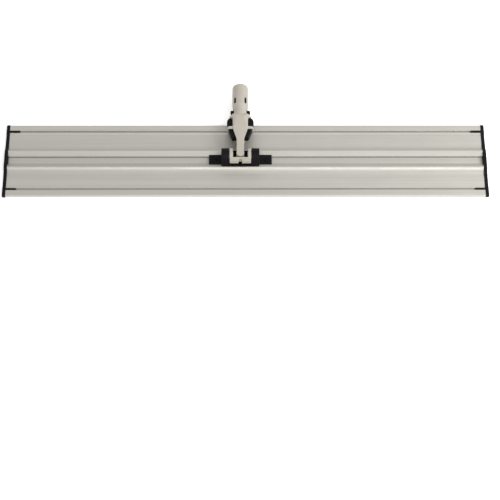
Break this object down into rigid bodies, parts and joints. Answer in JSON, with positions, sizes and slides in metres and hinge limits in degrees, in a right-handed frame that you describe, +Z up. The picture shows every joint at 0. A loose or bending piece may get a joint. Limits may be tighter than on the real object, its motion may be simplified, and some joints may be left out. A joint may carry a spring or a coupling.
{
  "type": "flat mop frame",
  "caption": "Long flat mop frame: aluminium plate with black end caps, centre two-axis swivel and a squeeze-latch handle plug laid back behind it.",
  "frame": {"origin": "middle of the sole, on the floor plane under the swivel", "axes": "+X along the plate's length, +Y back towards the laid-down handle plug, +Z up"},
  "size_m": [0.914, 0.232, 0.0395],
  "materials": {
    "anodised_aluminium": "satin anodised, drawn along its length",
    "black_plastic": "moulded black nylon, slightly satin",
    "grey_plastic": "moulded light warm grey plastic, fine grain",
    "white_nylon": "plain off-white nylon",
    "zinc_steel": "zinc plated",
    "black_steel": "black oxide",
    "spring_steel": "bright drawn wire",
    "hook_tape": "black woven hook tape"
  },
  "bodies": {
    "frame": {"frame_extrusion": "anodised_aluminium", "left_end_cap": "black_plastic", "right_end_cap": "black_plastic", "front_hook_strip": "hook_tape", "rear_hook_strip": "hook_tape", "swivel_base": "black_plastic", "channel_nuts": "zinc_steel", "base_screws": "black_steel", "left_tilt_bush": "white_nylon", "right_tilt_bush": "white_nylon"},
    "yoke": {"yoke": "grey_plastic", "left_tilt_pin": "zinc_steel", "right_tilt_pin": "zinc_steel", "swing_pin": "zinc_steel", "swing_pin_clip": "zinc_steel"},
    "plug": {"plug_upper_shell": "grey_plastic", "plug_lower_shell": "grey_plastic", "plug_shell_screws": "zinc_steel", "swing_bushes": "white_nylon", "left_latch_pin": "zinc_steel", "right_latch_pin": "zinc_steel", "left_latch_spring": "spring_steel", "right_latch_spring": "spring_steel"},
    "left_latch": {"left_latch_lever": "black_plastic"},
    "right_latch": {"right_latch_lever": "black_plastic"}
  },
  "joints": [
    {"name": "tilt", "type": "hinge", "parent": "frame", "child": "yoke", "pos_m": [-0.01, 0, 0.024], "axis": [1, 0, 0], "range_deg": [0, 180]},
    {"name": "swing", "type": "hinge", "parent": "yoke", "child": "plug", "pos_m": [-0.01, 0, 0.024], "axis": [0, 0, 1], "range_deg": [-20, 20]},
    {"name": "left_latch_squeeze", "type": "hinge", "parent": "plug", "child": "left_latch", "pos_m": [-0.018, 0.045, 0.024], "axis": [0, 0, -1], "range_deg": [0, 5], "stiffness_Nm_per_rad": 2, "springref_deg": -5.73, "deforming": ["left_latch_spring"]},
    {"name": "right_latch_squeeze", "type": "hinge", "parent": "plug", "child": "right_latch", "pos_m": [-0.002, 0.045, 0.024], "axis": [0, 0, 1], "range_deg": [0, 5], "stiffness_Nm_per_rad": 2, "springref_deg": -5.73, "deforming": ["right_latch_spring"]}
  ]
}
